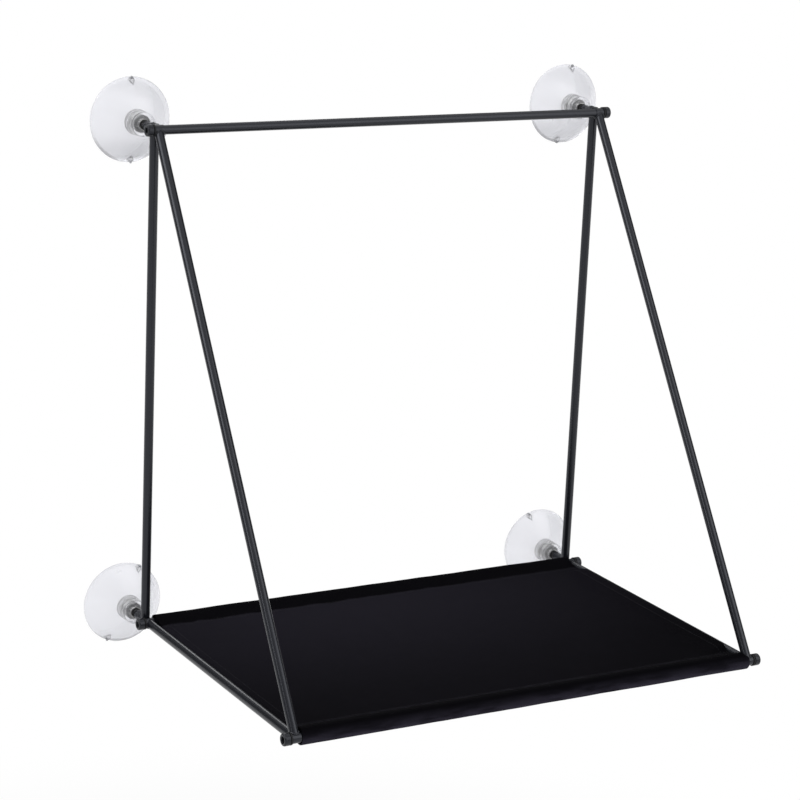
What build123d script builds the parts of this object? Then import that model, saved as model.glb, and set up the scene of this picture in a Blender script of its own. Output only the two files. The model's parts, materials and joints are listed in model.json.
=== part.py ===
"""Window mounted cat perch.

Two welded side triangles carry three cross bars, a cloth sling and four suction cups.
Millimetres: +X to the right, +Y towards the window, +Z up.
The origin is on the window glass, midway between the four cups.
"""
import math
import os

from build123d import *

os.makedirs("parts", exist_ok=True)

# Driving dimensions of the frame, from axis to axis
frame_width = 550.0  # left side triangle to right side triangle
frame_height = 545.0  # rear bar to top bar
frame_depth = 355.0  # rear bar to front bar
glass_gap = 66.0  # window glass to the uprights

# Steel tube of the bars, uprights, side rails, braces and standoffs
tube_diameter = 10.0
tube_wall = 1.0
upright_cap = 1.5  # closed ends of the uprights

# Ferrules, the short rings that close the corners of the side triangles
ferrule_diameter = 11.0
ferrule_length = 10.0
screw_hole_clearance = 0.3

# Screws that hold the cross bars between the side triangles
thread_diameter = 6.0
thread_clearance = 0.05
screw_length = 25.0
head_diameter = 13.0
head_height = 7.2
head_rounding = 1.4
neck_diameter = 11.0
neck_height = 0.8
socket_width = 6.0
socket_depth = 4.5
socket_flare_diameter = 8.8
socket_flare_depth = 1.0
washer_diameter = 13.0
washer_thickness = 1.6
bar_insert_length = 18.0

# Studs that the suction cups turn on
stud_engagement = 14.0
stud_tip_chamfer = 0.8

# Black lock nuts in front of the cups
nut_diameter = 11.0
nut_length = 6.0
nut_rounding = 1.5
nut_flutes = 12
nut_flute_radius = 0.6
nut_gap = 0.3

# Suction cups
cup_diameter = 92.0
cup_height = 19.0  # glass to the root of the stub
cup_bulge = 2.2  # how far the outside of the dome stands out of a plain cone
cup_hollow = 12.0  # depth of the hollow at its middle
hollow_floor_diameter = 12.0
lip_thickness = 1.5
lip_width = 4.0  # flat ring that lies on the glass
stub_root_diameter = 28.0
stub_front_diameter = 26.0
stub_length = 21.2
cup_insert_diameter = 12.0
cup_insert_length = 18.0
insert_body_diameter = 19.0  # thicker inner part of the insert, which the vinyl grips
insert_body_length = 10.5
insert_groove_diameter = 16.0
insert_groove_width = 1.6
tab_length = 9.5
tab_width = 6.5
tab_thickness = 2.0
tab_overhang = 1.6  # how far a pull tab stands past the rim
tab_standoff = 3.4  # glass to the underside of a pull tab
tab_corner = 0.8
tab_border = 1.7
cup_turns = {"top_left": 0.0, "top_right": 10.0, "bottom_left": 25.0, "bottom_right": -20.0}

# Cloth sling with a sleeve for the rear bar and one for the front bar
cloth_thickness = 1.6
sleeve_clearance = 0.3
sleeve_slack = 2.2  # how much wider the sleeves are than the bars need, on the radius
sling_side_gap = 0.5  # cloth edge to side rail
sling_sag = 2.0
stitch_distance = 21.0  # bar axis to the stitch line that closes a sleeve
deck_height = 2.5  # bar axes to the top of the deck, at the stitch lines
seam_allowance = 6.0  # doubled cloth past the stitch line

# Sizes and places worked out from the values above
half_width = frame_width / 2
tube_radius = tube_diameter / 2
tube_bore_radius = tube_radius - tube_wall
ferrule_radius = ferrule_diameter / 2
thread_radius = thread_diameter / 2
threaded_bore_radius = thread_radius + thread_clearance
upright_y = -glass_gap
rear_y = upright_y - tube_diameter  # the top and rear bars lie against the front of the uprights
front_y = rear_y - frame_depth
rear_z = -frame_height / 2
top_z = frame_height / 2
bar_axes = {"top": (rear_y, top_z), "rear": (rear_y, rear_z), "front": (front_y, rear_z)}
sides = {"left": -1, "right": 1}
bar_length = frame_width - ferrule_length
cup_places = {
    "top_left": (-half_width, top_z),
    "top_right": (half_width, top_z),
    "bottom_left": (-half_width, rear_z),
    "bottom_right": (half_width, rear_z),
}
stub_front_y = -(cup_height + stub_length)
stud_tip_y = stub_front_y + stud_engagement
standoff_end_y = stub_front_y - 2 * nut_gap - nut_length

# Cross bars: plain tubes that butt against the ferrules
for bar_name, (bar_y, bar_z) in bar_axes.items():
    with BuildPart() as bar:
        with BuildSketch(Plane.YZ.offset(-bar_length / 2)):
            with Locations((bar_y, bar_z)):
                Circle(tube_radius)
                Circle(tube_bore_radius, mode=Mode.SUBTRACT)
        extrude(amount=bar_length)
    bar.part.label = f"{bar_name}_bar"
    export_step(bar.part, f"parts/{bar_name}_bar.step")

# Places of what repeats at the six bar ends, each facing outwards
end_places = [(side, axis) for side in sides.values() for axis in bar_axes.values()]


def end_planes(distance):
    """One plane for each bar end, at this distance from the middle, facing outwards."""
    return [Plane(origin=(side * distance, *axis), z_dir=(side, 0, 0)) for side, axis in end_places]


# Threaded plugs inside the ends of the cross bars
with BuildPart() as bar_end_inserts:
    with BuildSketch(*end_planes(bar_length / 2)):
        Circle(tube_bore_radius)
        Circle(threaded_bore_radius, mode=Mode.SUBTRACT)
    extrude(amount=-bar_insert_length)
bar_end_inserts.part.label = "bar_end_inserts"
export_step(bar_end_inserts.part, "parts/bar_end_inserts.step")

# Washers between the ferrules and the screw heads
ferrule_face_x = half_width + ferrule_length / 2
with BuildPart() as screw_washers:
    with BuildSketch(*end_planes(ferrule_face_x)):
        Circle(washer_diameter / 2)
        Circle(thread_radius + screw_hole_clearance, mode=Mode.SUBTRACT)
    extrude(amount=washer_thickness)
screw_washers.part.label = "screw_washers"
export_step(screw_washers.part, "parts/screw_washers.step")

# Socket head screws through the ferrules into the threaded plugs
head_seat_x = ferrule_face_x + washer_thickness
head_top_x = head_seat_x + head_height
with BuildPart() as end_screws:
    with BuildSketch(*end_planes(head_seat_x)):
        Circle(neck_diameter / 2)
    extrude(amount=neck_height)
    with BuildSketch(*end_planes(head_seat_x + neck_height)):
        Circle(head_diameter / 2)
    extrude(amount=head_height - neck_height)
    head_rims = end_screws.edges().filter_by(lambda rim: abs(rim.center().X) > head_top_x - neck_height)
    fillet(head_rims, radius=head_rounding)
    with BuildSketch(*end_planes(head_top_x)):
        RegularPolygon(radius=socket_width / 2, side_count=6, major_radius=False)
    extrude(amount=-socket_depth, mode=Mode.SUBTRACT)
    with BuildSketch(*end_planes(head_top_x)):
        Circle(socket_flare_diameter / 2)
    flare_angle = math.degrees(math.atan2((socket_flare_diameter - socket_width) / 2, socket_flare_depth))
    extrude(amount=-socket_flare_depth, taper=flare_angle, mode=Mode.SUBTRACT)
    with BuildSketch(*end_planes(head_seat_x)):
        Circle(thread_radius)
    extrude(amount=-screw_length)
end_screws.part.label = "end_screws"
export_step(end_screws.part, "parts/end_screws.step")


def solid_bar(plane, radius, reach, both=True):
    """A plain round bar that runs this far from its plane, to cut the tubes that meet it to shape."""
    with BuildPart() as tool:
        with BuildSketch(plane):
            Circle(radius)
        extrude(amount=reach, both=both)
    return tool.part


# Side triangles: ferrules at the corners, with the tubes cut to fit round them and each other
upright_length = frame_height + tube_diameter
brace_foot = Vector(0, front_y, rear_z)
brace_line = Vector(0, rear_y, top_z) - brace_foot
for side_name, side in sides.items():
    side_x = side * half_width
    corners = {}
    for corner_name, (corner_y, corner_z) in bar_axes.items():
        corner_plane = Plane(origin=(side_x, corner_y, corner_z), z_dir=(1, 0, 0))
        corners[corner_name] = solid_bar(corner_plane, ferrule_radius, ferrule_length)
        with BuildPart() as ferrule:
            with BuildSketch(corner_plane):
                Circle(ferrule_radius)
                Circle(thread_radius + screw_hole_clearance, mode=Mode.SUBTRACT)
            extrude(amount=ferrule_length / 2, both=True)
        ferrule.part.label = f"{side_name}_{corner_name}_ferrule"
        export_step(ferrule.part, f"parts/{side_name}_{corner_name}_ferrule.step")

    stud_planes = {
        "top": Plane(origin=(side_x, upright_y, top_z), z_dir=(0, 1, 0)),
        "bottom": Plane(origin=(side_x, upright_y, rear_z), z_dir=(0, 1, 0)),
    }
    upright_plane = Plane(origin=(side_x, upright_y, rear_z - tube_radius), z_dir=(0, 0, 1))
    with BuildPart() as upright:
        with BuildSketch(upright_plane):
            Circle(tube_radius)
        extrude(amount=upright_length)
        with BuildSketch(upright_plane.offset(upright_cap)):
            Circle(tube_bore_radius)
        extrude(amount=upright_length - 2 * upright_cap, mode=Mode.SUBTRACT)
        with BuildSketch(*stud_planes.values()):
            Circle(threaded_bore_radius)
        extrude(amount=tube_diameter, mode=Mode.SUBTRACT)
        add(corners["rear"], mode=Mode.SUBTRACT)
        add(corners["top"], mode=Mode.SUBTRACT)
    upright.part.label = f"{side_name}_upright"
    export_step(upright.part, f"parts/{side_name}_upright.step")

    brace_plane = Plane(origin=brace_foot + Vector(side_x, 0, 0), x_dir=(1, 0, 0), z_dir=brace_line)
    brace_outside = solid_bar(brace_plane, tube_radius, brace_line.length, both=False)
    with BuildPart() as brace:
        add(brace_outside)
        with BuildSketch(brace_plane):
            Circle(tube_bore_radius)
        extrude(amount=brace_line.length, mode=Mode.SUBTRACT)
        add(corners["front"], mode=Mode.SUBTRACT)
        add(corners["top"], mode=Mode.SUBTRACT)
    brace.part.label = f"{side_name}_brace"
    export_step(brace.part, f"parts/{side_name}_brace.step")

    rail_plane = Plane(origin=(side_x, rear_y, rear_z), z_dir=(0, -1, 0))
    with BuildPart() as side_rail:
        with BuildSketch(rail_plane):
            Circle(tube_radius)
            Circle(tube_bore_radius, mode=Mode.SUBTRACT)
        extrude(amount=frame_depth)
        add(corners["rear"], mode=Mode.SUBTRACT)
        add(corners["front"], mode=Mode.SUBTRACT)
        add(brace_outside, mode=Mode.SUBTRACT)
    side_rail.part.label = f"{side_name}_side_rail"
    export_step(side_rail.part, f"parts/{side_name}_side_rail.step")

    # Behind each end of the upright, a standoff with the stud that a suction cup turns on
    upright_outside = solid_bar(upright_plane, tube_radius, upright_length)
    for level_name, stud_plane in stud_planes.items():
        with BuildPart() as standoff:
            with BuildSketch(stud_plane):
                Circle(tube_radius)
                Circle(threaded_bore_radius, mode=Mode.SUBTRACT)
            extrude(amount=standoff_end_y - upright_y)
            add(upright_outside, mode=Mode.SUBTRACT)
        standoff.part.label = f"{level_name}_{side_name}_standoff"
        export_step(standoff.part, f"parts/{level_name}_{side_name}_standoff.step")

        with BuildPart() as cup_stud:
            with BuildSketch(stud_plane):
                Circle(thread_radius)
            extrude(amount=stud_tip_y - upright_y)
            chamfer(cup_stud.edges().sort_by(Axis.Y)[-1], length=stud_tip_chamfer)
        cup_stud.part.label = f"{level_name}_{side_name}_cup_stud"
        export_step(cup_stud.part, f"parts/{level_name}_{side_name}_cup_stud.step")

# Suction cups, each with its threaded insert and its lock nut
cup_radius = cup_diameter / 2
stub_root_radius = stub_root_diameter / 2
stub_front_radius = stub_front_diameter / 2
hollow_radius = cup_radius - lip_width
insert_end_y = stub_front_y + cup_insert_length
tab_middle_radius = cup_radius + tab_overhang - tab_length / 2
tab_corners = [(tab_length / 2, 0), (0, tab_width / 2), (-tab_length / 2, 0), (0, -tab_width / 2)]
for cup_name, (cup_x, cup_z) in cup_places.items():
    cup_axis = Axis((cup_x, 0, cup_z), (0, 1, 0))
    half_section = Plane(origin=(cup_x, 0, cup_z), x_dir=(1, 0, 0), z_dir=(0, 0, 1))

    with BuildPart() as insert_outside:
        with BuildSketch(half_section):
            with Locations((0, stub_front_y)):
                Rectangle(cup_insert_diameter / 2, cup_insert_length, align=(Align.MIN, Align.MIN))
            with Locations((0, insert_end_y)):
                Rectangle(insert_body_diameter / 2, insert_body_length, align=(Align.MIN, Align.MAX))
            with Locations((insert_body_diameter / 2, insert_end_y - insert_body_length / 2)):
                groove_depth = (insert_body_diameter - insert_groove_diameter) / 2
                groove_align = (Align.MAX, Align.CENTER)
                Rectangle(groove_depth, insert_groove_width, align=groove_align, mode=Mode.SUBTRACT)
        revolve(axis=cup_axis)

    with BuildPart() as suction_cup:
        with BuildSketch(half_section):
            with BuildLine():
                hollow = SagittaArc((hollow_radius, 0), (hollow_floor_diameter / 2, -cup_hollow), cup_bulge)
                floor = Line(hollow @ 1, (0, -cup_hollow))
                middle = Line(floor @ 1, (0, stub_front_y))
                front = Line(middle @ 1, (stub_front_radius, stub_front_y))
                flank = Line(front @ 1, (stub_root_radius, -cup_height))
                dome = SagittaArc(flank @ 1, (cup_radius, -lip_thickness), -cup_bulge)
                rim = TangentArc(dome @ 1, (cup_radius - lip_thickness / 2, 0), tangent=(0, 1))
                Line(rim @ 1, hollow @ 0)
            make_face()
        revolve(axis=cup_axis)
        add(insert_outside.part, mode=Mode.SUBTRACT)
        tab_plane = Plane(origin=(cup_x, -tab_standoff, cup_z), x_dir=(1, 0, 0), z_dir=(0, -1, 0))
        with BuildSketch(tab_plane) as tabs:
            with PolarLocations(tab_middle_radius, 2, start_angle=90 - cup_turns[cup_name]):
                Polygon(*tab_corners)
            fillet(tabs.vertices(), radius=tab_corner)
            offset(amount=-tab_border, mode=Mode.SUBTRACT)
        extrude(amount=tab_thickness)
    suction_cup.part.label = f"{cup_name}_suction_cup"
    export_step(suction_cup.part, f"parts/{cup_name}_suction_cup.step")

    with BuildPart() as cup_insert:
        add(insert_outside.part)
        with BuildSketch(Plane(origin=(cup_x, stub_front_y, cup_z), z_dir=(0, 1, 0))):
            Circle(threaded_bore_radius)
        extrude(amount=cup_insert_length, mode=Mode.SUBTRACT)
    cup_insert.part.label = f"{cup_name}_cup_insert"
    export_step(cup_insert.part, f"parts/{cup_name}_cup_insert.step")

    nut_seat = Plane(origin=(cup_x, stub_front_y - nut_gap, cup_z), z_dir=(0, -1, 0))
    with BuildPart() as lock_nut:
        with BuildSketch(nut_seat):
            Circle(nut_diameter / 2)
        extrude(amount=nut_length)
        fillet(lock_nut.edges().filter_by(GeomType.CIRCLE).sort_by(Axis.Y)[0], radius=nut_rounding)
        with BuildSketch(nut_seat):
            Circle(threaded_bore_radius)
            with PolarLocations(nut_diameter / 2, nut_flutes):
                Circle(nut_flute_radius)
        extrude(amount=nut_length, mode=Mode.SUBTRACT)
    lock_nut.part.label = f"{cup_name}_lock_nut"
    export_step(lock_nut.part, f"parts/{cup_name}_lock_nut.step")

# Cloth sling: a flat deck between two sleeves, each drawn out to the stitch line that closes it
sleeve_inside = tube_radius + sleeve_clearance + sleeve_slack
sleeve_outside = sleeve_inside + cloth_thickness
sling_width = frame_width - tube_diameter - 2 * sling_side_gap


def sleeve_wedge(tip_top, tip_bottom, radius):
    """The drawn-out part of a sleeve: its tip, and where the cloth leaves a circle of this radius."""
    points = [(0, 0)]
    for (y, z), turn_side in ((tip_top, 1), (tip_bottom, -1)):
        turn = math.atan2(z, y) + turn_side * math.acos(radius / math.hypot(y, z))
        leaving = (radius * math.cos(turn), radius * math.sin(turn))
        points += [leaving, (y, z)] if turn_side > 0 else [(y, z), leaving]
    return points


# The middle of a sleeve lies inwards of the bar's axis, because the deck pulls the sleeve against the bar
stitch_reach = stitch_distance - sleeve_slack
underside = deck_height - cloth_thickness
flap_underside = underside - cloth_thickness
outer_wedge = sleeve_wedge((stitch_reach, deck_height), (stitch_reach, flap_underside), sleeve_outside)
inner_wedge = sleeve_wedge((stitch_reach, underside), (stitch_reach, underside), sleeve_inside)
deck_top_z = rear_z + deck_height
deck_ends = [(rear_y - stitch_distance, deck_top_z), (front_y + stitch_distance, deck_top_z)]
with BuildPart() as sling:
    with BuildSketch(Plane.YZ.offset(-sling_width / 2)):
        with BuildLine():
            deck_top = SagittaArc(deck_ends[0], deck_ends[1], sling_sag)
            rear_end = Line(deck_top @ 0, deck_top @ 0 - Vector(0, cloth_thickness))
            front_end = Line(deck_top @ 1, deck_top @ 1 - Vector(0, cloth_thickness))
            SagittaArc(rear_end @ 1, front_end @ 1, sling_sag)
        make_face()
        for bar_name, inward_side in (("rear", -1), ("front", 1)):
            bar_y, bar_z = bar_axes[bar_name]
            with Locations((bar_y + inward_side * sleeve_slack, bar_z)):
                Circle(sleeve_outside)
                Polygon(*[(inward_side * y, z) for y, z in outer_wedge], align=None)
                Circle(sleeve_inside, mode=Mode.SUBTRACT)
                Polygon(*[(inward_side * y, z) for y, z in inner_wedge], align=None, mode=Mode.SUBTRACT)
            with Locations((bar_y + inward_side * stitch_distance, bar_z + underside)):
                allowance_align = (Align.MIN if inward_side > 0 else Align.MAX, Align.MAX)
                Rectangle(seam_allowance, cloth_thickness, align=allowance_align)
    extrude(amount=sling_width)
sling.part.label = "sling"
export_step(sling.part, "parts/sling.step")
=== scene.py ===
"""Window mounted cat perch: its cloth, seams, weld beads and finishes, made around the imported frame.

Metres: +X to the right, +Y towards the window, +Z up, with the origin on the window glass.
"""
import json
import math

import bmesh
import bpy
from bpy.props import FloatProperty, FloatVectorProperty, PointerProperty
from bpy.types import Operator, Panel, PropertyGroup
from mathutils import Matrix, Vector, noise


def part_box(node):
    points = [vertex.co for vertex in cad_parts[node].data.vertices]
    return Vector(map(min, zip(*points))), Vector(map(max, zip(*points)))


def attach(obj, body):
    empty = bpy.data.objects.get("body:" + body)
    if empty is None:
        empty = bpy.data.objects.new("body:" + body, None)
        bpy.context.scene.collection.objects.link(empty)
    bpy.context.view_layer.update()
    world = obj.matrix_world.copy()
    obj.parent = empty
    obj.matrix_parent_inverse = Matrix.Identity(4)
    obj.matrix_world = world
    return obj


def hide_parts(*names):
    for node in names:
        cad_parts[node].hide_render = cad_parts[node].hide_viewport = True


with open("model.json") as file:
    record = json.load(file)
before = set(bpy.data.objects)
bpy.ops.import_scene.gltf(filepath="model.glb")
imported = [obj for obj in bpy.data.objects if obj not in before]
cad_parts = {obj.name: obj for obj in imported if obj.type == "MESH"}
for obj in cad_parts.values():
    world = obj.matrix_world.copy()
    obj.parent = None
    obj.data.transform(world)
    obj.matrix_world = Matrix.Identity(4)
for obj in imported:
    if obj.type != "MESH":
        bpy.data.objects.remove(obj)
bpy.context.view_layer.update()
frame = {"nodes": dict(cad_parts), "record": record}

bl_info = {
    "name": "Window Cat Perch",
    "version": (1, 0, 0),
    "blender": (4, 5, 0),
    "location": "3D View > Sidebar > Cat Perch",
    "description": "Builds the cloth, seams, weld beads, finishes and stage of a window mounted cat perch",
    "category": "Object",
}

MM = 0.001
SIDES = {"left": -1, "right": 1}


# Sizes and colours


class PerchCloth(PropertyGroup):
    thickness: FloatProperty(
        name="Cloth thickness", description="Thickness of one layer of the cloth",
        default=0.7 * MM, unit="LENGTH",
    )
    stitch_distance: FloatProperty(
        name="Stitch distance", description="Bar axis to the stitch line that closes a sleeve",
        default=21 * MM, unit="LENGTH",
    )
    deck_height: FloatProperty(
        name="Deck height", description="Bar axes to the top of the deck at the stitch lines",
        default=2.5 * MM, unit="LENGTH",
    )
    sag: FloatProperty(
        name="Sag", description="How far the middle of the deck sags",
        default=2.0 * MM, unit="LENGTH",
    )
    seam_allowance: FloatProperty(
        name="Seam allowance", description="Cloth past the stitch line, under the deck",
        default=6 * MM, unit="LENGTH",
    )
    hem_width: FloatProperty(
        name="Hem width", description="Cloth that is folded under along each side",
        default=12 * MM, unit="LENGTH",
    )
    mesh_pitch: FloatProperty(
        name="Mesh pitch", description="Size of the cloth's faces",
        default=3.4 * MM, unit="LENGTH",
    )
    pucker: FloatProperty(
        name="Pucker", description="Depth of the small puckers along the stitch lines",
        default=0.32 * MM, unit="LENGTH",
    )
    slackness: FloatProperty(
        name="Slackness", description="Depth of the loose ripples in the sleeves",
        default=0.6 * MM, unit="LENGTH",
    )
    lap_width: FloatProperty(
        name="Lap width", description="Width along the right side that rises onto its rail",
        default=24 * MM, unit="LENGTH",
    )
    lap_inset: FloatProperty(
        name="Lap inset", description="Right rail's axis to the cloth's edge that lies on it",
        default=1.8 * MM, unit="LENGTH",
    )
    sleeve_shift: FloatProperty(
        name="Sleeve shift", description="How far the front sleeve reaches over the right ferrule",
        default=4 * MM, unit="LENGTH",
    )
    colour: FloatVectorProperty(
        name="Cloth colour", description="Base colour of the cloth",
        default=(0.0047, 0.0043, 0.0063), subtype="COLOR", min=0, max=1,
    )


class PerchSeams(PropertyGroup):
    stitch_pitch: FloatProperty(
        name="Stitch pitch", description="From one stitch to the next",
        default=4.0 * MM, unit="LENGTH",
    )
    stitch_length: FloatProperty(
        name="Stitch length", description="Visible length of a stitch",
        default=3.1 * MM, unit="LENGTH",
    )
    thread_width: FloatProperty(
        name="Thread width", description="Width of the sewing thread",
        default=0.5 * MM, unit="LENGTH",
    )
    row_distance: FloatProperty(
        name="Row distance", description="Between the two rows of a double seam",
        default=3.2 * MM, unit="LENGTH",
    )
    row_inset: FloatProperty(
        name="Row inset", description="Seam line to the first row of its stitches",
        default=0.6 * MM, unit="LENGTH",
    )
    side_margin: FloatProperty(
        name="Side margin", description="Side of the cloth to the first stitch of a seam",
        default=3 * MM, unit="LENGTH",
    )
    hem_inset: FloatProperty(
        name="Hem inset", description="Inner edge of a hem to its row of stitches",
        default=2.5 * MM, unit="LENGTH",
    )
    hem_margin: FloatProperty(
        name="Hem margin", description="Sleeve seam to the first stitch of a hem",
        default=8 * MM, unit="LENGTH",
    )
    colour: FloatVectorProperty(
        name="Thread colour", description="Base colour of the thread",
        default=(0.013, 0.013, 0.016), subtype="COLOR", min=0, max=1,
    )


class PerchWelds(PropertyGroup):
    bead_radius: FloatProperty(
        name="Bead radius", description="Radius of a weld bead's section",
        default=1.15 * MM, unit="LENGTH",
    )
    ripple: FloatProperty(
        name="Ripple", description="How much the bead swells at each ripple",
        default=0.14, subtype="FACTOR", min=0, max=1,
    )
    ring_radius: FloatProperty(
        name="Ring radius", description="Radius of the bead between a ferrule and its upright",
        default=2.9 * MM, unit="LENGTH",
    )
    ring_sink: FloatProperty(
        name="Ring sink", description="How deep that bead's line lies in the ferrule",
        default=0.25 * MM, unit="LENGTH",
    )


class PerchFinishes(PropertyGroup):
    paint: FloatVectorProperty(
        name="Paint", description="Powder coat of the tubes",
        default=(0.0073, 0.0079, 0.0108), subtype="COLOR", min=0, max=1,
    )
    vinyl: FloatVectorProperty(
        name="Vinyl", description="Clear, slightly milky vinyl",
        default=(0.94, 0.945, 1.0), subtype="COLOR", min=0, max=1,
    )
    tab_length: FloatProperty(
        name="Tab length", description="Length of a pull tab",
        default=9.5 * MM, unit="LENGTH",
    )
    tab_width: FloatProperty(
        name="Tab width", description="Width of a pull tab",
        default=6.5 * MM, unit="LENGTH",
    )
    zinc: FloatVectorProperty(
        name="Zinc", description="Zinc plate of studs and inserts",
        default=(0.62, 0.62, 0.60), subtype="COLOR", min=0, max=1,
    )
    nylon: FloatVectorProperty(
        name="Nylon", description="Moulded nylon of nuts and washers",
        default=(0.008, 0.008, 0.009), subtype="COLOR", min=0, max=1,
    )
    screw: FloatVectorProperty(
        name="Screw", description="Black plate of the screws",
        default=(0.008, 0.0085, 0.011), subtype="COLOR", min=0, max=1,
    )


class PerchStage(PropertyGroup):
    floor_height: FloatProperty(
        name="Floor height", description="Height of the floor",
        default=-1.1, unit="LENGTH",
    )
    floor_size: FloatProperty(
        name="Floor size", description="Side of the square floor",
        default=60.0, unit="LENGTH",
    )
    floor_colour: FloatVectorProperty(
        name="Floor colour", description="Colour of the floor",
        default=(0.82, 0.82, 0.82), subtype="COLOR", min=0, max=1,
    )
    ambient: FloatProperty(
        name="Ambient light", description="Strength of the world's soft light",
        default=0.40, min=0,
    )
    walls: FloatProperty(
        name="Walls", description="Brightness of the studio's dark walls, in gloss",
        default=0.16, min=0,
    )
    key_power: FloatProperty(
        name="Key power", description="Lamp at the left and above",
        default=54.0, unit="POWER", min=0,
    )
    fill_power: FloatProperty(
        name="Fill power", description="Lamp in front, at the right",
        default=34.0, unit="POWER", min=0,
    )
    top_power: FloatProperty(
        name="Top power", description="Lamp above and behind",
        default=26.0, unit="POWER", min=0,
    )
    back_power: FloatProperty(
        name="Back power", description="Small lamp behind",
        default=7.0, unit="POWER", min=0,
    )
    view_azimuth: FloatProperty(
        name="View azimuth", description="Turn of the camera about the upright axis",
        default=math.radians(-29.8245), subtype="ANGLE",
    )
    view_elevation: FloatProperty(
        name="View elevation", description="Height of the camera as an angle",
        default=math.radians(14.7549), subtype="ANGLE",
    )
    view_roll: FloatProperty(
        name="View roll", description="Turn of the picture",
        default=math.radians(2.5688), subtype="ANGLE",
    )
    view_distance: FloatProperty(
        name="View distance", description="Camera to its target",
        default=2.71893, unit="LENGTH",
    )
    view_target: FloatVectorProperty(
        name="View target", description="Middle of the picture",
        default=(-0.03113, -0.18243, -0.01437), subtype="TRANSLATION",
    )
    lens: FloatProperty(
        name="Lens", description="Focal length for a sensor 36 mm wide",
        default=112.922, unit="CAMERA",
    )


# Materials


class Field:
    """A number that varies over a surface: a socket on which Python's operators add Math nodes."""

    def __init__(self, finish, socket):
        self.finish = finish
        self.socket = socket

    def maths(self, operation, *values):
        node = self.finish.node("ShaderNodeMath", {"operation": operation}, dict(enumerate(values)))
        return Field(self.finish, node.outputs[0])

    def __add__(self, other):
        return self.maths("ADD", self, other)

    def __radd__(self, other):
        return self.maths("ADD", other, self)

    def __sub__(self, other):
        return self.maths("SUBTRACT", self, other)

    def __rsub__(self, other):
        return self.maths("SUBTRACT", other, self)

    def __mul__(self, other):
        return self.maths("MULTIPLY", self, other)

    def __rmul__(self, other):
        return self.maths("MULTIPLY", other, self)

    def __truediv__(self, other):
        return self.maths("DIVIDE", self, other)

    def __pow__(self, other):
        return self.maths("POWER", self, other)

    def __abs__(self):
        return self.maths("ABSOLUTE", self)

    def sine(self):
        return self.maths("SINE", self)

    def larger(self, other):
        return self.maths("MAXIMUM", self, other)


class Finish:
    """One material and its nodes."""

    def __init__(self, name, tree=None):
        if tree is None:
            self.material = bpy.data.materials.new(name)
            self.material.use_nodes = True
            tree = self.material.node_tree
        self.tree = tree
        self.tree.nodes.clear()

    def node(self, kind, settings=None, sockets=None):
        """A node of this type, with its settings made first and then the values or links of its sockets."""
        made = self.tree.nodes.new(kind)
        for name, value in (settings or {}).items():
            setattr(made, name, value)
        for key, value in (sockets or {}).items():
            if isinstance(value, Field):
                value = value.socket
            if isinstance(value, bpy.types.NodeSocket):
                self.tree.links.new(value, made.inputs[key])
            else:
                made.inputs[key].default_value = value
        return made

    def field(self, kind, settings=None, sockets=None, output=0):
        return Field(self, self.node(kind, settings, sockets).outputs[output])

    def place(self):
        """Object coordinates."""
        return self.node("ShaderNodeTexCoord").outputs["Object"]

    def noise(self, vector, scale, detail=2.0, roughness=0.5):
        sockets = {"Vector": vector, "Scale": scale, "Detail": detail, "Roughness": roughness}
        return self.field("ShaderNodeTexNoise", None, sockets)

    def axes(self, vector):
        """The three parts of a vector, as numbers."""
        split = self.node("ShaderNodeSeparateXYZ", None, {0: vector})
        return [Field(self, output) for output in split.outputs]

    def blend(self, factor, first, second):
        """A colour between two colours."""
        first, second = [(*c, 1) if isinstance(c, tuple) else c for c in (first, second)]
        settings = {"data_type": "RGBA", "clamp_factor": False}
        mix = self.node("ShaderNodeMix", settings, {0: factor, 6: first, 7: second})
        return mix.outputs[2]

    def ramp(self, value, start, end, low=0.0, high=1.0):
        """A soft step from low at start to high at end."""
        sockets = {"Value": value, "From Min": start, "From Max": end, "To Min": low, "To Max": high}
        return self.field("ShaderNodeMapRange", {"interpolation_type": "SMOOTHSTEP"}, sockets)

    def bump(self, height, distance, strength=1.0):
        sockets = {"Strength": strength, "Distance": distance, "Height": height}
        return self.node("ShaderNodeBump", None, sockets).outputs["Normal"]

    def surface(self, **sockets):
        """The Principled shader and the output. Underscores in the names stand for spaces."""
        named = {name.replace("_", " "): value for name, value in sockets.items()}
        for name, value in named.items():
            if isinstance(value, tuple) and len(value) == 3:
                named[name] = (*value, 1)
        shader = self.node("ShaderNodeBsdfPrincipled", None, named)
        self.node("ShaderNodeOutputMaterial", None, {"Surface": shader.outputs[0]})
        return self.material


def tinted(colour, factor):
    """A colour made darker or lighter by a factor."""
    return tuple(channel * factor for channel in colour)


def powder_coat(finishes):
    """Satin black powder coat on the tubes, with the fine ripple of baked powder."""
    finish = Finish("powder_coat")
    place = finish.place()
    paint = tuple(finishes.paint)
    cloudy = finish.noise(place, 14, 3)
    ripple = finish.noise(place, 620, 2)
    return finish.surface(
        Base_Color=finish.blend(cloudy, tinted(paint, 0.8), tinted(paint, 1.25)),
        Roughness=0.22 + 0.08 * cloudy,
        Normal=finish.bump(ripple, 0.05 * MM, 0.5),
        Specular_IOR_Level=0.44,
        Specular_Tint=(0.88, 0.91, 1.0),
    )


def screw_plate(finishes):
    """Black plated steel of the socket screws, slightly glossier than the tubes."""
    finish = Finish("screw_plate")
    place = finish.place()
    screw = tuple(finishes.screw)
    grain = finish.noise(place, 900, 2)
    return finish.surface(
        Base_Color=finish.blend(grain, tinted(screw, 0.8), tinted(screw, 1.3)),
        Roughness=0.22 + 0.10 * grain,
        Normal=finish.bump(grain, 0.02 * MM, 0.4),
        Specular_IOR_Level=0.35,
        Specular_Tint=(0.88, 0.91, 1.0),
    )


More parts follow.
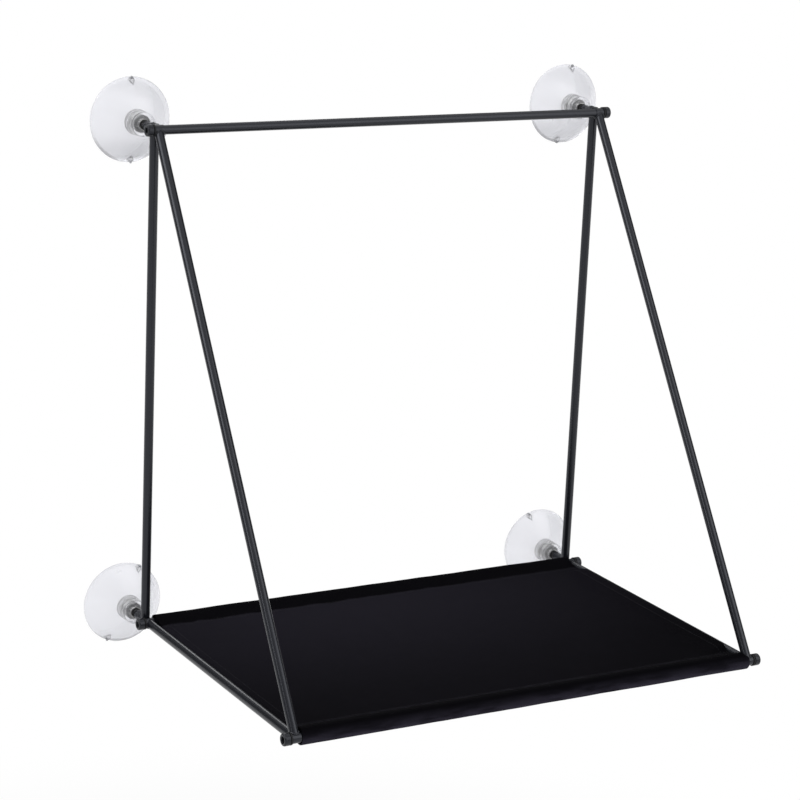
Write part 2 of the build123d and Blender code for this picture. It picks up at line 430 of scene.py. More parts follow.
def nylon(finishes):
    """Moulded black nylon with a matt skin."""
    finish = Finish("nylon")
    place = finish.place()
    black = tuple(finishes.nylon)
    skin = finish.noise(place, 1500, 3)
    return finish.surface(
        Base_Color=finish.blend(skin, tinted(black, 0.85), tinted(black, 1.2)),
        Roughness=0.46 + 0.14 * skin,
        Normal=finish.bump(skin, 0.02 * MM, 0.5),
        Specular_IOR_Level=0.25,
    )


def zinc_plate(finishes):
    """Bright zinc plated steel, with the ridges of an M6 thread across the Y axis."""
    finish = Finish("zinc_plate")
    place = finish.place()
    zinc = tuple(finishes.zinc)
    spangle = finish.noise(place, 420, 3)
    along = finish.axes(place)[1]
    thread_pitch = 1.0 * MM
    thread = abs((along * (math.pi / thread_pitch)).sine())
    return finish.surface(
        Base_Color=finish.blend(spangle, tinted(zinc, 0.82), tinted(zinc, 1.1)),
        Metallic=1.0,
        Roughness=0.26 + 0.16 * spangle,
        Normal=finish.bump(thread, 0.25 * MM, 0.8),
    )


def clear_vinyl(finishes, cup):
    """Soft clear vinyl, slightly milky, with a moulded skin's faint waves and two diamond pull tabs.

    The tabs lie where the cup's mesh reaches farthest from its axis, and opposite. The stub looks
    grey where it grips the insert's body, from a ragged edge at the front.
    """
    finish = Finish("clear_vinyl_" + cup.name)
    centre = middle(cup.name)
    tip = max((vert.co - centre for vert in cup.data.vertices), key=lambda co: math.hypot(co.x, co.z))
    turn = math.atan2(tip.x, tip.z)
    place = finish.place()
    vinyl = tuple(finishes.vinyl)
    cloud = finish.noise(place, 45, 3)
    waves = finish.noise(place, 160, 2)
    x, depth, z = finish.axes(place)
    x, z = x - centre.x, z - centre.z
    outwards = abs(x * math.sin(turn) + z * math.cos(turn))
    sideways = abs(x * math.cos(turn) - z * math.sin(turn))
    half_length, half_width = finishes.tab_length / 2, finishes.tab_width / 2
    tab_middle = math.hypot(tip.x, tip.z) - half_length
    diamond = abs(outwards - tab_middle) / half_length + sideways / half_width
    border = finish.ramp(diamond, 1.15, 1.0) * finish.ramp(diamond, 0.45, 0.6)
    stub_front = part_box(cup.name)[0][1]
    body_front, body_back = stub_front + 10 * MM, stub_front + 20.5 * MM
    speck = finish.noise(place, 330, 3)
    ragged = (speck - 0.5) * (5 * MM)
    grip = finish.ramp(depth, body_front - 1.5 * MM + ragged, body_front)
    grip = grip * finish.ramp(depth, body_back + 1.0 * MM, body_back)
    clear = finish.blend(cloud, tinted(vinyl, 0.97), vinyl)
    clear = finish.blend(grip * (0.6 + 0.4 * speck), clear, tinted(vinyl, 0.36))
    return finish.surface(
        Base_Color=finish.blend(border, clear, tinted(vinyl, 0.3)),
        Roughness=0.20 + 0.10 * cloud,
        Normal=finish.bump(waves, 0.12 * MM, 0.5),
        IOR=1.46,
        Specular_IOR_Level=0.35,
        Transmission_Weight=0.76,
        Alpha=0.76,
    )


def cloth(values):
    """Tightly woven black cloth: a plain weave on the flat cut's own map, with a mottled yarn.

    The deck has painted light: it is painted lighter towards the window and darker at its sides, most
    at its right, as the light falls off across it, with a lighter streak next to the front stitches.
    The sleeves are painted darker, as painted shade where they lack the deck's grazing reflection: the
    rear one from a wandering line like a fold's shadow, the front one from its stitches. Below its bar
    the front one has a painted reflection of the floor, lighter in slanting streaks.
    """
    finish = Finish("black_weave")
    sewn = SewnCloth(values)
    cut = finish.node("ShaderNodeUVMap", {"uv_map": "cut"}).outputs[0]
    yarn_pitch = 0.62 * MM
    across, along, _ = finish.axes(cut)
    weft = (across * (math.pi / yarn_pitch)).sine()
    warp = (along * (math.pi / yarn_pitch)).sine()
    weave = weft * warp
    mottle = finish.noise(cut, 38, 4, 0.6)
    yarn = finish.noise(cut, 1400, 2)
    shade = mottle * 0.55 + yarn * 0.45
    black = tuple(values.colour)

    deck_start, deck_end = sewn.seams["front_deck"], sewn.seams["rear_deck"]
    # painted shade: the sleeves are painted darker than the deck, from the front stitches and from a
    # wandering line at the rear like a fold's shadow, standing for the deck's grazing reflection that they
    # lack
    front = finish.ramp(along, deck_start - 0.4 * MM, deck_start - 1.6 * MM)
    wander = (finish.noise(cut, 26, 3) - 0.5) * (14 * MM)
    rear = finish.ramp(along + wander, deck_end - 1.5 * MM, deck_end + 1.0 * MM)

    # a lighter streak in patches, just past the front stitches on the deck
    streak = abs(along - (deck_start + 2.0 * MM))
    patchy = finish.ramp(finish.noise(cut, 75, 2), 0.40, 0.60, 0.2, 1.5)
    lighter_seam_streak = finish.ramp(streak, 2.4 * MM, 1.4 * MM) * patchy
    # painted light: the deck is painted lighter towards the window and darker at its sides, most at its
    # right, as the light falls off across it
    from_middle = across / sewn.half_width
    beside = 1 - 0.15 * from_middle - 0.36 * from_middle**2
    painted_light_falloff = finish.ramp(along, deck_start, deck_end, 0.72, 2.2) * beside
    deck = finish.blend(painted_light_falloff + 0.45 * lighter_seam_streak + 0.5 * (shade - 0.5), (0, 0, 0), black)

    # painted reflection: below its bar the front sleeve is painted lighter, as the white floor below lights
    # it at a grazing view, in slanting streaks
    slant = {"Vector": cut, "Rotation": (0, 0, 0.35), "Scale": (0.22, 1.0, 1.0)}
    crease = finish.noise(finish.node("ShaderNodeMapping", None, slant).outputs[0], 95, 3)
    bar_top = deck_start - values.stitch_distance
    below_bar = finish.ramp(along, bar_top - 3 * MM, bar_top - 23 * MM) * finish.ramp(along, 0.0, 6 * MM)
    floor_sheen_mask = below_bar * finish.ramp(crease, 0.36, 0.58, 0.45, 1.0)
    # the sleeves' painted shade: a darker copy of the cloth colour
    sleeve = finish.blend(shade, tinted(black, 0.2), tinted(black, 0.6))
    rubbed = finish.blend(shade * 0.4 + crease * 0.6, tinted(black, 4.0), tinted(black, 13.0))

    return finish.surface(
        Base_Color=finish.blend(front.larger(rear), deck, finish.blend(floor_sheen_mask, sleeve, rubbed)),
        Roughness=0.70 + 0.12 * yarn,
        Normal=finish.bump(weave * 0.7 + yarn * 0.6, 0.09 * MM, 0.7),
        Specular_IOR_Level=0.015,
    )


def thread(values):
    """Black sewing thread, with the slant of its twist."""
    finish = Finish("sewing_thread")
    place = finish.place()
    x, y, z = finish.axes(place)
    twist_pitch = 0.5 * MM
    twist = abs(((x + y + z) * (math.pi / twist_pitch)).sine())
    black = tuple(values.colour)
    return finish.surface(
        Base_Color=finish.blend(twist, tinted(black, 0.7), tinted(black, 1.3)),
        Roughness=0.62 + 0.1 * twist,
        Normal=finish.bump(twist, 0.08 * MM, 0.7),
        Specular_IOR_Level=0.15,
    )


# Pieces


def add_piece(name, bm, material, body):
    """A finished piece at the origin, with its place in its mesh, that rides on a body."""
    mesh = bpy.data.meshes.new(name)
    for face in bm.faces:
        face.smooth = True
    bm.to_mesh(mesh)
    bm.free()
    mesh.materials.append(material)
    piece = bpy.data.objects.new(name, mesh)
    bpy.context.scene.collection.objects.link(piece)
    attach(piece, body)
    return piece


def soft_step(share):
    """Nought below nought, one above one, and a soft curve between."""
    share = min(max(share, 0.0), 1.0)
    return share * share * (3 - 2 * share)


def cut_noise(x, length, wide, long, pattern):
    """Smooth noise over the flat cut, in waves this wide and long. Each pattern number gives another."""
    return noise.noise((x / wide, length / long, pattern))


def middle(node):
    """The middle of a CAD node's box."""
    low, high = (Vector(corner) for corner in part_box(node))
    return (low + high) / 2


class SewnCloth:
    """Where each place of the sling's flat cut lies once it is sewn round the bars.

    A place is given by x, across the sling, and by a length along the cut from its front edge.
    """

    flap_steps, side_steps, arc_steps = 3, 12, 22  # faces along a flap, a sleeve's side and round a bar
    layer_gap = 0.05 * MM  # between two layers that lie on each other
    seam_reach = 9 * MM  # how far from a seam its puckers and its stacked layers die away
    hem_slope = 6 * MM  # width beside a hem over which the flap comes down to the deck again
    drawn_in = 0.0035  # share by which the middle of the deck is narrower than its ends
    swell = 0.9 * MM  # height of the deck's long soft waves
    lap_start, lap_climb = 8 * MM, 16 * MM  # from a sleeve's seam to the start of the lap, and its climb
    over_rail = 1.1  # height of the cloth's middle surface over its rail, in steps of a layer
    shift_above, shift_below = -1 * MM, 3 * MM  # from the bar's axis to where the sleeve's shift starts
    shift_slope = 4 * MM  # length over which that shift grows

    def __init__(self, values):
        self.values = values
        low, high = (Vector(corner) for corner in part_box("sling"))
        self.half_width = high.x
        self.bar_z = middle("front_bar").z
        self.front_y = middle("front_bar").y
        self.rear_y = middle("rear_bar").y
        half_layer = values.thickness / 2
        outside = (high.z - low.z) / 2
        self.radius = outside - half_layer
        self.shift = low.y + outside - self.front_y
        self.deck_z = values.deck_height - half_layer
        self.rail_x = middle("right_side_rail").x
        self.rail_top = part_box("right_side_rail")[1][2]
        self.layer_step = values.thickness + self.layer_gap
        self.trace()

    def sleeve(self):
        """(inward, up) from a bar's axis, from the cut's edge round the bar to the stitch line."""
        reach = self.values.stitch_distance
        tips = {"low": (reach, self.deck_z - self.layer_step), "high": (reach, self.deck_z)}
        turns = {}
        for name, side in (("low", -1), ("high", 1)):
            y, z = tips[name][0] - self.shift, tips[name][1]
            turns[name] = math.atan2(z, y) + side * math.acos(self.radius / math.hypot(y, z))

        def on_circle(turn):
            return (self.shift + self.radius * math.cos(turn), self.radius * math.sin(turn))

        def run(start, end, steps):
            return [tuple(s + (e - s) * i / steps for s, e in zip(start, end)) for i in range(steps)]

        edge = (reach + self.values.seam_allowance, tips["low"][1])
        low_turn, high_turn = turns["low"], turns["high"] - math.tau
        span = high_turn - low_turn
        arc = [on_circle(low_turn + span * i / self.arc_steps) for i in range(self.arc_steps)]
        flap = run(edge, tips["low"], self.flap_steps)
        lower = run(tips["low"], on_circle(low_turn), self.side_steps)
        upper = run(on_circle(high_turn), tips["high"], self.side_steps)
        return flap + lower + arc + upper + [tips["high"]]

    def trace(self):
        """The rows of the cut, their lengths along it and the lengths at which its seams lie."""
        sleeve = self.sleeve()
        front = [(self.front_y + inward, self.bar_z + up) for inward, up in sleeve]
        rear = [(self.rear_y - inward, self.bar_z + up) for inward, up in reversed(sleeve)]
        start, end = front[-1], rear[0]
        steps = round((end[0] - start[0]) / self.values.mesh_pitch)
        deck = []
        for i in range(1, steps):
            share = i / steps
            sag = 4 * self.values.sag * share * (1 - share)
            deck.append((start[0] + (end[0] - start[0]) * share, start[1] - sag))
        self.rows = front + deck + rear
        self.lengths = [0.0]
        for before, after in zip(self.rows, self.rows[1:]):
            self.lengths.append(self.lengths[-1] + math.dist(before, after))
        last = len(self.rows) - 1
        self.total = self.lengths[last]
        self.seams = {
            "front_flap": self.lengths[self.flap_steps],
            "front_deck": self.lengths[len(front) - 1],
            "rear_deck": self.lengths[last - len(front) + 1],
            "rear_flap": self.lengths[last - self.flap_steps],
        }

    def row_at(self, length):
        """(y, z, outward y, outward z) at a length along the cut."""
        length = min(max(length, 0.0), self.total)
        index = 0
        while index < len(self.lengths) - 2 and self.lengths[index + 1] < length:
            index += 1
        share = (length - self.lengths[index]) / (self.lengths[index + 1] - self.lengths[index])
        here, there = self.rows[index], self.rows[index + 1]
        before = self.rows[max(index - 1, 0)]
        after = self.rows[min(index + 2, len(self.rows) - 1)]
        y, z = (here[k] + (there[k] - here[k]) * share for k in (0, 1))
        start = [(there[k] - before[k]) for k in (0, 1)]
        finish = [(after[k] - here[k]) for k in (0, 1)]
        run = Vector((start[0] + (finish[0] - start[0]) * share, start[1] + (finish[1] - start[1]) * share))
        run.normalize()
        return y, z, -run.y, run.x

    def ease(self, x, length):
        """How far the cloth stands out of its plain shape: puckers, ripples of the sleeves and the deck.

        A sleeve is loosest on its two sides, and tighter where it goes round its bar.
        """
        values, seams = self.values, self.seams
        near = max(math.exp(-abs(length - seam) / self.seam_reach) for seam in seams.values())
        fine = cut_noise(x, length, 6.5 * MM, 26 * MM, 3.1)
        coarse = cut_noise(x, length, 21 * MM, 40 * MM, 7.7)
        rise = values.pucker * near * (fine + 0.8 * coarse)
        sleeves = ((seams["front_flap"], seams["front_deck"]), (seams["rear_deck"], seams["rear_flap"]))
        for start, end in sleeves:
            if start < length < end:
                share = (length - start) / (end - start)
                loose = math.sin(math.pi * share) * (0.35 + 0.65 * abs(math.cos(math.pi * share)))
                slant = x / (42 * MM) + share * 1.5
                rise += values.slackness * loose * (noise.noise((slant, share * 5.0, start * 50)) + 0.15)
                rise += 0.35 * values.slackness * loose * noise.noise((x / (15 * MM), share * 4.0, 1.9))
        if seams["front_deck"] < length < seams["rear_deck"]:
            free = math.sin(math.pi * self.deck_share(length)) ** 0.5
            side = 1 - (abs(x) / self.half_width) ** 6
            rise += self.swell * free * side * cut_noise(x, length, 120 * MM, 85 * MM, 5.5)
        return rise

    def deck_share(self, length):
        """Nought at the deck's front seam and before it, and one at its rear seam and past it."""
        start, end = self.seams["front_deck"], self.seams["rear_deck"]
        return min(max((length - start) / (end - start), 0), 1)

    def stack(self, x, length):
        """How far the flap stands off the deck where the folded side hems lie between them."""
        slope_start = self.half_width - self.values.hem_width - self.hem_slope
        flap = min(length, self.total - length)
        fade = math.exp(-max(flap - self.values.seam_allowance, 0.0) / self.seam_reach)
        return 2 * self.layer_step * soft_step((abs(x) - slope_start) / self.hem_slope) * fade

    def lap(self, x, length, y, z, pull):
        """(sideways, up) at the right side, where the cloth lies on its rail and reaches over the ferrule."""
        values = self.values
        near = soft_step((x - self.half_width + values.lap_width) / values.lap_width)
        inner = min(length - self.seams["front_deck"], self.seams["rear_deck"] - length)
        if inner > 0:
            on_rail = self.rail_top + self.over_rail * self.layer_step
            shift = self.rail_x - values.lap_inset - self.half_width * pull
            over = soft_step((inner - self.lap_start) / self.lap_climb)
            return near * over * shift, near * (1 - (1 - over) ** 3) * (on_rail - z)
        if length < self.seams["front_deck"]:
            limit = self.shift_above if z > self.bar_z else self.shift_below
            over = soft_step((self.front_y + limit - y) / self.shift_slope)
            return near * values.sleeve_shift * over, 0.0
        return 0.0, 0.0

    def point(self, x, length, lift=0.0):
        """The place of the cloth's middle surface, lifted outwards by an amount."""
        y, z, out_y, out_z = self.row_at(length)
        pull = 1 - self.drawn_in * math.sin(math.pi * self.deck_share(length))
        rise = lift + self.ease(x, length) + self.stack(x, length)
        sideways, up = self.lap(x, length, y, z, pull)
        return Vector((x * pull + sideways, y + out_y * rise, z + out_z * rise + up))

    def frame_at(self, x, length, lift, along_cut):
        """A turned place on the cloth: X along the seam, Z outwards."""
        here = self.point(x, length, lift)
        step = 0.8 * MM
        by_x = (self.point(x + step, length, lift) - self.point(x - step, length, lift)).normalized()
        by_length = (self.point(x, length + step, lift) - self.point(x, length - step, lift)).normalized()
        out = by_x.cross(by_length).normalized()
        run = by_length if along_cut else by_x
        turned = Matrix((run, out.cross(run), out)).transposed().to_4x4()
        return Matrix.Translation(here) @ turned


def sling_columns(sewn):
    """(x, lift, width along the flat cut) from the left hem's edge to the right hem's edge."""
    values = sewn.values
    fold_radius = sewn.layer_step / 2
    fold_x = sewn.half_width - fold_radius - values.thickness / 2
    hem_steps, fold_steps = 4, 4
    half = []
    flat = fold_x
    deck_steps = round(fold_x / values.mesh_pitch)
    for i in range(deck_steps + 1):
        x = fold_x * i / deck_steps
        half.append((x, 0.0, x))
    for i in range(1, fold_steps + 1):
        turn = math.pi * i / fold_steps
        flat += math.pi * fold_radius / fold_steps
        half.append((fold_x + fold_radius * math.sin(turn), -fold_radius * (1 - math.cos(turn)), flat))
    for i in range(1, hem_steps + 1):
        run = values.hem_width * i / hem_steps
        half.append((fold_x - run, -2 * fold_radius, flat + run))
    return [(-x, lift, -width) for x, lift, width in reversed(half[1:])] + half


class PERCH_OT_sling(Operator):
    """Make the cloth sling: one cut with folded side hems, sewn round the rear and front bars"""

    bl_idname = "perch.sling"
    bl_label = "Cloth Sling"

    def execute(self, context):
        values = context.scene.perch_cloth
        sewn = SewnCloth(values)
        columns = sling_columns(sewn)
        across, along = len(columns) - 1, len(sewn.rows) - 1
        bm = bmesh.new()
        bmesh.ops.create_grid(bm, x_segments=across, y_segments=along, size=0.5)
        if len(bm.verts) != len(columns) * len(sewn.rows):
            raise RuntimeError("the cloth's grid doesn't have one vertex for each place of the cut")
        uv = bm.loops.layers.uv.new("cut")
        places = {v: (round((v.co.x + 0.5) * across), round((v.co.y + 0.5) * along)) for v in bm.verts}
        for face in bm.faces:
            for loop in face.loops:
                column, row = places[loop.vert]
                loop[uv].uv = (columns[column][2], sewn.lengths[row])
        for vert, (column, row) in places.items():
            x, lift, _ = columns[column]
            vert.co = sewn.point(x, sewn.lengths[row], lift)
        weave = bpy.data.materials["black_weave"]
        piece = add_piece("sling_cloth", bm, weave, "frame")
        solid = piece.modifiers.new("cloth thickness", "SOLIDIFY")
        solid.thickness = values.thickness
        solid.offset = 0
        solid.use_even_offset = False
        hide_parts("sling")
        return {"FINISHED"}


class PERCH_OT_seams(Operator):
    """Sew the seams: double rows of stitches that close the sleeves and single rows along the side hems"""

    bl_idname = "perch.seams"
    bl_label = "Stitches"

    def execute(self, context):
        values, cloth_values = context.scene.perch_seams, context.scene.perch_cloth
        sewn = SewnCloth(cloth_values)
        surface = cloth_values.thickness / 2
        bm = bmesh.new()
        single = self.single_stitch(values)

        def stitch(x, length, lift, along_cut):
            copy = single.copy()
            copy.transform(sewn.frame_at(x, length, lift, along_cut))
            bm.from_mesh(copy)
            bpy.data.meshes.remove(copy)

        reach = sewn.half_width - values.side_margin
        count = int(2 * reach / values.stitch_pitch)
        inwards = {"front_deck": 1, "rear_deck": -1, "front_flap": -1, "rear_flap": 1}
        for seam, inward in inwards.items():
            for row in range(2):
                length = sewn.seams[seam] + inward * (values.row_inset + row * values.row_distance)
                for i in range(count + 1):
                    stitch((i - count / 2) * values.stitch_pitch, length, surface, False)
        hem_x = sewn.half_width - cloth_values.hem_width + values.hem_inset
        start = sewn.seams["front_deck"] + values.hem_margin
        end = sewn.seams["rear_deck"] - values.hem_margin
        count = int((end - start) / values.stitch_pitch)
        for side in SIDES.values():
            for i in range(count + 1):
                length = start + i * values.stitch_pitch
                stitch(side * hem_x, length, surface, True)
                stitch(side * hem_x, length, -surface - sewn.layer_step, True)
        bpy.data.meshes.remove(single)
        piece = add_piece("sling_stitches", bm, thread(values), "frame")
        width = 2 * sling_columns(sewn)[-1][2]
        return {"FINISHED"}

    def single_stitch(self, values):
        """One stitch at the origin, along X: a slim pointed ball of few faces."""
        bm = bmesh.new()
        bmesh.ops.create_uvsphere(bm, u_segments=6, v_segments=4, radius=1)
        bmesh.ops.rotate(bm, matrix=Matrix.Rotation(math.pi / 2, 3, "Y"), verts=bm.verts)
        size = (values.stitch_length / 2, values.thread_width / 2, values.thread_width * 0.4)
        bmesh.ops.scale(bm, vec=size, verts=bm.verts)
        mesh = bpy.data.meshes.new("single_stitch")
        bm.to_mesh(mesh)
        bm.free()
        return mesh


def weld_bead(bm, values, place, share, ripples):
    """A rippled bead along the line that place(turn) gives, over this share of a full turn.

    The ripples are counted over a full turn.
    """
    sides, steps_per_ripple = 8, 3
    ring = bmesh.ops.create_circle(bm, segments=sides, radius=values.bead_radius, cap_ends=False)["verts"]
    stand = Matrix.Translation((1, 0, 0)) @ Matrix.Rotation(math.pi / 2, 4, "X")
    bmesh.ops.transform(bm, matrix=stand, verts=ring)
    edges = list(dict.fromkeys(edge for vert in ring for edge in vert.link_edges))
    full = share >= 1
    before = set(bm.verts) - set(ring)
    bmesh.ops.spin(
        bm,
        geom=ring + edges,
        cent=(0, 0, 0),
        axis=(0, 0, 1),
        angle=math.tau * share,
        steps=round(ripples * steps_per_ripple * share),
        use_merge=full,
    )
    turn_step = 0.02
    nearly_along = 0.2
    for vert in [vert for vert in bm.verts if vert not in before]:
        turn = math.atan2(vert.co.y, vert.co.x) % math.tau
        out, up = math.hypot(vert.co.x, vert.co.y) - 1, vert.co.z
        swell = 1 + values.ripple * math.cos(turn * ripples)
        run = (place(turn + turn_step) - place(turn - turn_step)).normalized()
        side = run.cross(Vector((1, 0, 0)))
        if side.length < nearly_along:
            side = run.cross(Vector((0, 0, 1)))
        side.normalize()
        vert.co = place(turn) + (side * out + side.cross(run) * up) * swell
    if not full:
        loose = [edge for edge in bm.edges if edge.is_boundary]
        bmesh.ops.holes_fill(bm, edges=loose, sides=sides)


def saddle_line(centre, tube, host, tube_radius, host_radius):
    """The line where a tube ends on a round host: tube and host are their directions."""
    tube, host = tube.normalized(), host.normalized()
    across = tube.cross(host)

    def place(turn):
        along = host * math.cos(turn) + across * math.sin(turn)
        depth = math.sqrt(max(host_radius**2 - (tube_radius * math.sin(turn)) ** 2, 0))
        return centre + tube * depth + along * tube_radius

    return place


def ring_line(centre, radius):
    """A circle about the Y direction, where a ferrule lies against its upright."""

    def place(turn):
        return centre + Vector((math.cos(turn), 0, math.sin(turn))) * radius

    return place


def notch_line(centre, first, second, radius):
    """Half the oval in which two tubes of one side triangle meet: first and second are their directions."""
    halfway = (first + second).normalized()
    long_radius = radius / math.sin(first.angle(second) / 2)

    def place(turn):
        swing = turn - math.pi / 2
        return centre + halfway * (long_radius * math.cos(swing)) + Vector((radius * math.sin(swing), 0, 0))

    return place


def weld_lines(side, values):
    """(line, share of a full turn, ripples) for each bead of one side triangle."""
    corners = {name: middle(f"{side}_{name}_ferrule") for name in ("top", "rear", "front")}
    low, high = (Vector(corner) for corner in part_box(f"{side}_top_ferrule"))
    ferrule_radius = (high.z - low.z) / 2
    low, high = (Vector(corner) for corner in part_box(f"{side}_upright"))
    tube_radius = (high.x - low.x) / 2
    upright_y = (high.y + low.y) / 2
    x_axis, y_axis, z_axis = Vector((1, 0, 0)), Vector((0, 1, 0)), Vector((0, 0, 1))
    brace = (corners["top"] - corners["front"]).normalized()
    tube_ends = {"top": -brace, "rear": -y_axis, "front": brace}
    levels = ("top", "rear")
    tube_ripples, ring_ripples = 26, 14

    saddles = []
    for name, tube in tube_ends.items():
        saddles.append(saddle_line(corners[name], tube, x_axis, tube_radius, ferrule_radius))
    for level in levels:
        on_upright = Vector((corners[level].x, upright_y, corners[level].z))
        saddles.append(saddle_line(on_upright, y_axis, z_axis, tube_radius, tube_radius))
    contacts = [corners[level] + y_axis * (ferrule_radius - values.ring_sink) for level in levels]
    return [
        *((line, 1.0, tube_ripples) for line in saddles),
        *((ring_line(contact, values.ring_radius), 1.0, ring_ripples) for contact in contacts),
        (notch_line(corners["front"], y_axis, brace, tube_radius), 0.5, tube_ripples),
    ]


class PERCH_OT_welds(Operator):
    """Lay the painted weld beads where the tubes, ferrules and standoffs of the side triangles meet"""

    bl_idname = "perch.welds"
    bl_label = "Weld Beads"

    def execute(self, context):
        values = context.scene.perch_welds
        paint = bpy.data.materials["powder_coat"]
        for side in SIDES:
            bm = bmesh.new()
            for line, share, ripples in weld_lines(side, values):
                weld_bead(bm, values, line, share, ripples)
            bmesh.ops.recalc_face_normals(bm, faces=bm.faces)
            add_piece(f"{side}_weld_beads", bm, paint, "frame")
        return {"FINISHED"}


class PERCH_OT_finishes(Operator):
    """Give every CAD node its procedural material"""

    bl_idname = "perch.finishes"
    bl_label = "Finishes"

    def execute(self, context):
        finishes = context.scene.perch_finishes
        materials = {
            "black_tube": powder_coat(finishes),
            "black_screw": screw_plate(finishes),
            "black_nylon": nylon(finishes),
            "zinc_steel": zinc_plate(finishes),
            "black_cloth": cloth(context.scene.perch_cloth),
        }
        for subpart in frame["record"]["subparts"]:
            node = frame["nodes"][subpart["node"]]
            if subpart["material_slot"] == "clear_vinyl":
                material = clear_vinyl(finishes, node)
            else:
                material = materials[subpart["material_slot"]]
            if not node.material_slots:
                node.data.materials.append(material)
            for slot in node.material_slots:
                slot.material = material
        return {"FINISHED"}


# Stage


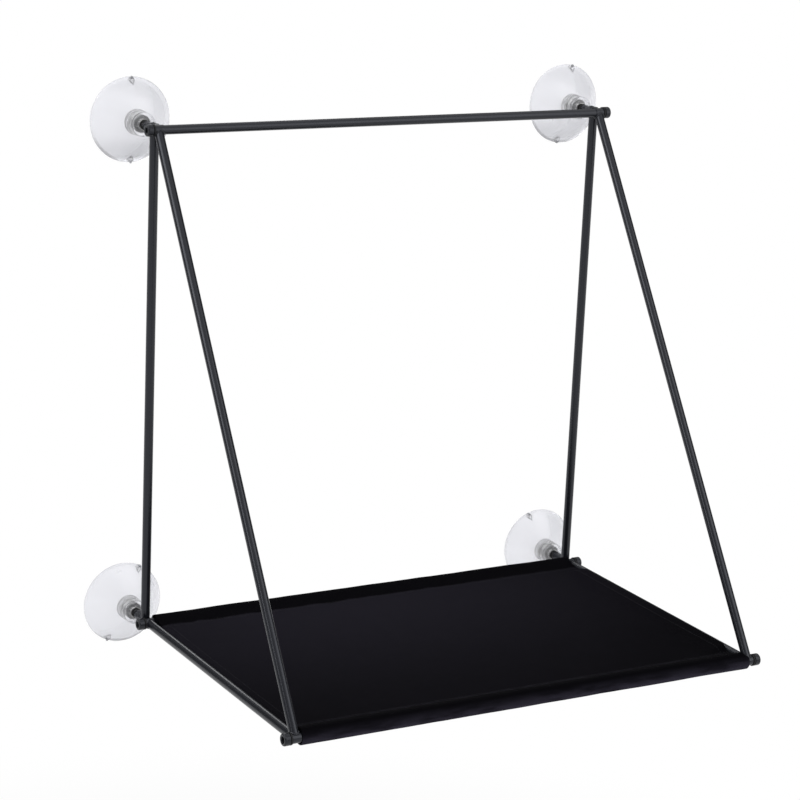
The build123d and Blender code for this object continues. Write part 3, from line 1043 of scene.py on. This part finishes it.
class PERCH_OT_stage(Operator):
    """Set the floor, the soft studio light and the camera"""

    bl_idname = "perch.stage"
    bl_label = "Stage"

    def execute(self, context):
        values = context.scene.perch_stage
        self.floor(context, values)
        self.world(context, values)
        lamps = {
            "key_lamp": ((-3.0, -0.7, 2.1), 2.2, values.key_power),
            "fill_lamp": ((1.5, -2.6, 1.2), 2.4, values.fill_power),
            "top_lamp": ((-0.9, 1.0, 2.4), 1.6, values.top_power),
            "back_lamp": ((1.0, 2.8, 1.35), 1.0, values.back_power),
        }
        for name, (place, size, power) in lamps.items():
            self.lamp(context, name, place, size, power)
        self.camera(context, values)
        context.scene.view_settings.view_transform = "Standard"
        return {"FINISHED"}

    def background(self, finish, kind, direction, values):
        """(factor, shader) of the white background.

        The factor is one where a ray shows it: from the camera, or through gloss or glass. In gloss it
        is dim from the horizon to about 40 degrees up, as in a studio with dark walls under a white ceiling.
        """
        rays = finish.node("ShaderNodeLightPath").outputs
        seen, gloss, glass = (
            Field(finish, rays[name]) for name in ("Is Camera Ray", "Is Glossy Ray", "Is Transmission Ray")
        )
        height = finish.axes(direction)[2]
        flag = gloss * finish.ramp(height, -0.04, 0.04) * finish.ramp(height, 0.75, 0.5)
        white, dim = (
            finish.node(kind, None, {"Color": (1, 1, 1, 1), "Strength": strength}).outputs[0]
            for strength in (1.0, values.walls)
        )
        shader = finish.node("ShaderNodeMixShader", None, {0: flag, 1: white, 2: dim}).outputs[0]
        return seen.larger(gloss).larger(glass), shader

    def floor(self, context, values):
        """A matt floor that keeps the object's soft shadow and turns to plain white farther out."""
        bm = bmesh.new()
        bmesh.ops.create_grid(bm, x_segments=1, y_segments=1, size=values.floor_size / 2)
        bmesh.ops.translate(bm, vec=(0, 0, values.floor_height), verts=bm.verts)
        mesh = bpy.data.meshes.new("floor")
        bm.to_mesh(mesh)
        bm.free()
        finish = Finish("pale_floor")
        matt = finish.node("ShaderNodeBsdfDiffuse", None, {"Color": (*values.floor_colour, 1)}).outputs[0]
        place = finish.place()
        direction = finish.node("ShaderNodeVectorMath", {"operation": "NORMALIZE"}, {0: place}).outputs[0]
        factor, white = self.background(finish, "ShaderNodeEmission", direction, values)
        x, y, _ = finish.axes(place)
        far = finish.ramp((x * x + y * y) ** 0.5, 0.7, 1.5, 0.72, 1.0)
        mixed = finish.node("ShaderNodeMixShader", None, {0: factor * far, 1: matt, 2: white})
        finish.node("ShaderNodeOutputMaterial", None, {"Surface": mixed.outputs[0]})
        mesh.materials.append(finish.material)
        floor = bpy.data.objects.new("floor", mesh)
        context.scene.collection.objects.link(floor)

    def world(self, context, values):
        world = bpy.data.worlds.new("studio")
        world.use_nodes = True
        context.scene.world = world
        finish = Finish("studio", world.node_tree)
        light = {"Color": (1, 1, 1, 1), "Strength": values.ambient}
        soft = finish.node("ShaderNodeBackground", None, light).outputs[0]
        direction = finish.node("ShaderNodeTexCoord").outputs["Generated"]
        factor, white = self.background(finish, "ShaderNodeBackground", direction, values)
        mixed = finish.node("ShaderNodeMixShader", None, {0: factor, 1: soft, 2: white})
        finish.node("ShaderNodeOutputWorld", None, {"Surface": mixed.outputs[0]})

    def lamp(self, context, name, place, size, power):
        """A square lamp that faces the middle of the object."""
        light = bpy.data.lights.new(name, "AREA")
        light.shape = "SQUARE"
        light.size = size
        light.energy = power
        lamp = bpy.data.objects.new(name, light)
        object_middle = Vector((0, -0.2, -0.05))
        facing = (object_middle - Vector(place)).to_track_quat("-Z", "Y").to_matrix().to_4x4()
        lamp.matrix_world = Matrix.Translation(place) @ facing
        context.scene.collection.objects.link(lamp)

    def camera(self, context, values):
        azimuth, elevation, roll = values.view_azimuth, values.view_elevation, values.view_roll
        flat = math.cos(elevation)
        back = Vector((math.sin(azimuth) * flat, -math.cos(azimuth) * flat, math.sin(elevation)))
        level = (-back).cross(Vector((0, 0, 1))).normalized()
        upright = level.cross(-back)
        right = level * math.cos(roll) + upright * math.sin(roll)
        up = upright * math.cos(roll) - level * math.sin(roll)
        data = bpy.data.cameras.new("camera")
        data.sensor_width = 36
        data.lens = values.lens
        camera = bpy.data.objects.new("camera", data)
        place = Vector(values.view_target) + back * values.view_distance
        camera.matrix_world = Matrix.Translation(place) @ Matrix((right, up, back)).transposed().to_4x4()
        context.scene.collection.objects.link(camera)
        context.scene.camera = camera


# Panel and registration


class PERCH_PT_build(Panel):
    """The operators, in the order in which they run, and the sizes and colours"""

    bl_idname = "PERCH_PT_build"
    bl_label = "Window Cat Perch"
    bl_space_type = "VIEW_3D"
    bl_region_type = "UI"
    bl_category = "Cat Perch"

    def draw(self, context):
        for operator in OPERATORS:
            self.layout.operator(operator.bl_idname)
        for name, group in GROUPS.items():
            box = self.layout.box()
            for prop in group.__annotations__:
                box.prop(getattr(context.scene, name), prop)


OPERATORS = (PERCH_OT_stage, PERCH_OT_finishes, PERCH_OT_sling, PERCH_OT_seams, PERCH_OT_welds)
GROUPS = {
    "perch_cloth": PerchCloth,
    "perch_seams": PerchSeams,
    "perch_welds": PerchWelds,
    "perch_finishes": PerchFinishes,
    "perch_stage": PerchStage,
}


def register():
    for cls in (*GROUPS.values(), *OPERATORS, PERCH_PT_build):
        bpy.utils.register_class(cls)
    for name, group in GROUPS.items():
        setattr(bpy.types.Scene, name, PointerProperty(type=group))


def unregister():
    for name in GROUPS:
        delattr(bpy.types.Scene, name)
    for cls in reversed((*GROUPS.values(), *OPERATORS, PERCH_PT_build)):
        bpy.utils.unregister_class(cls)


def main():
    register()
    bpy.ops.perch.stage()
    bpy.ops.perch.finishes()
    bpy.ops.perch.sling()
    bpy.ops.perch.seams()
    bpy.ops.perch.welds()


if __name__ == "__main__":
    main()
